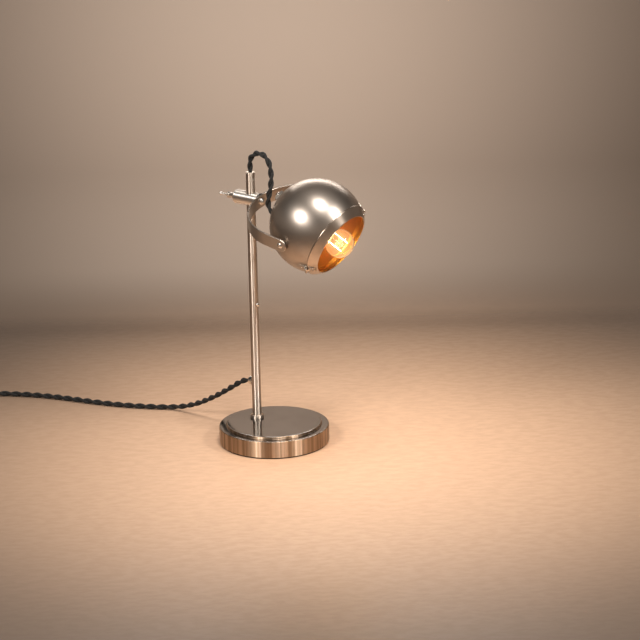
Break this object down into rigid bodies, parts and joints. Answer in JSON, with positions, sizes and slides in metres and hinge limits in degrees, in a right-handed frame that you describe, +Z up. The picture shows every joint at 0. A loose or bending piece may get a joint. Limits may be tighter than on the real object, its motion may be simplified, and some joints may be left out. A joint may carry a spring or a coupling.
{
  "type": "tabletop searchlight lamp",
  "caption": "Adjustable desk lamp: a ball head in a flat curved yoke on a clamp that slides on an upright stem, with a weighted round base, cloth cord, switch and plug.",
  "frame": {"origin": "centre of the underside of the round base, on the surface the lamp stands on", "axes": "+Z up; the lamp faces -Y, and the stem stands towards +Y of the centre"},
  "size_m": [0.266, 0.7811, 0.4118],
  "materials": {
    "felt": "matt pressed felt",
    "brushed_nickel": "turned satin nickel plate",
    "stem_nickel": "polished nickel plate, lightly worn",
    "ball_nickel": "dark satin nickel outside, warm gold lacquer inside",
    "bezel_nickel": "satin nickel plate",
    "strap_nickel": "satin nickel strap with polished edges",
    "bright_nickel": "polished nickel plate",
    "aged_bronze": "darkened brass",
    "brass": "plain brass",
    "steel": "plain turned steel",
    "blackened_steel": "blackened steel",
    "cast_iron": "rough casting",
    "black_fibre": "black fibre",
    "black_bakelite": "black moulding",
    "cord_cloth": "black braided cloth",
    "tie_band": "black woven band",
    "amber_glass": "clear warm glass",
    "filament": "glowing filament and supports"
  },
  "bodies": {
    "base": {"felt_pad": "felt", "base_cover": "brushed_nickel", "base_weight": "cast_iron", "base_stud": "steel", "base_nut": "steel", "base_washer": "steel", "stem_tube": "stem_nickel", "foot_collar": "stem_nickel", "cord_bushing": "aged_bronze", "stop_screw": "bright_nickel", "stem_ferrule": "stem_nickel", "ferrule_screw": "blackened_steel", "stem_lead": "cord_cloth", "jumper_cord": "cord_cloth", "mains_cord": "cord_cloth", "cord_coil": "cord_cloth", "coil_tie": "tie_band", "coil_lead_in": "cord_cloth", "coil_lead_out": "cord_cloth", "switch_upper": "black_bakelite", "switch_lower": "black_bakelite", "plug_body": "black_bakelite", "plug_blades": "brass"},
    "slider": {"friction_sleeve": "brass"},
    "clamp": {"clamp_block": "bright_nickel", "clamp_shoe": "brass", "nose_washer": "black_fibre", "nose_bolt": "blackened_steel"},
    "thumb": {"thumb_screw": "aged_bronze"},
    "yoke": {"yoke_strap": "strap_nickel"},
    "head": {"ball_shell": "ball_nickel", "pivot_screws": "aged_bronze", "pivot_spacers": "bright_nickel", "pivot_nuts": "steel", "bulb_globe": "amber_glass", "bulb_cap": "brass", "filament_mount": "filament", "lampholder": "black_bakelite", "holder_spacer": "brass", "holder_nipple": "steel", "pole_washer": "bright_nickel", "pole_nut": "bright_nickel", "cord_gland": "black_fibre", "gland_nut": "steel", "head_lead": "cord_cloth", "hinge_leaf_ball": "bright_nickel", "hinge_pin": "steel", "hinge_rivets_ball": "aged_bronze", "catch_spring": "bright_nickel", "catch_rivet": "aged_bronze"},
    "bezel": {"bezel_ring": "bezel_nickel", "hinge_leaf_bezel": "bright_nickel", "hinge_rivets_bezel": "aged_bronze", "catch_stud": "bright_nickel"},
    "rocker": {"switch_rocker": "black_bakelite"}
  },
  "joints": [
    {"name": "clamp_slide", "type": "slide", "parent": "base", "child": "slider", "axis": [0, 0, 1], "range_m": [-0.06, 0.012]},
    {"name": "clamp_swivel", "type": "hinge", "parent": "slider", "child": "clamp", "pos_m": [0, 0.031, 0.3425], "axis": [0, 0, 1], "range_deg": [-90, 90]},
    {"name": "thumb_screw_turn", "type": "hinge", "parent": "clamp", "child": "thumb", "pos_m": [0, 0.058, 0.3425], "axis": [0, 1, 0], "continuous": true},
    {"name": "yoke_roll", "type": "hinge", "parent": "clamp", "child": "yoke", "pos_m": [0, 0.0155, 0.3425], "axis": [0, -0.9848, -0.1736], "range_deg": [-75, 60]},
    {"name": "head_tilt", "type": "hinge", "parent": "yoke", "child": "head", "pos_m": [0, -0.07904, 0.32583], "axis": [-0.9659, 0.0449, -0.2549], "range_deg": [-50, 35], "deforming": ["jumper_cord"]},
    {"name": "bezel_hinge", "type": "hinge", "parent": "head", "child": "bezel", "pos_m": [-0.04131, -0.09923, 0.27292], "axis": [0.6293, 0.4222, -0.6524], "range_deg": [0, 100]},
    {"name": "switch_rock", "type": "hinge", "parent": "base", "child": "rocker", "pos_m": [-0.1364, 0.5082, 0.015], "axis": [-0.8, -0.6, 0], "range_deg": [-16, 0]}
  ]
}
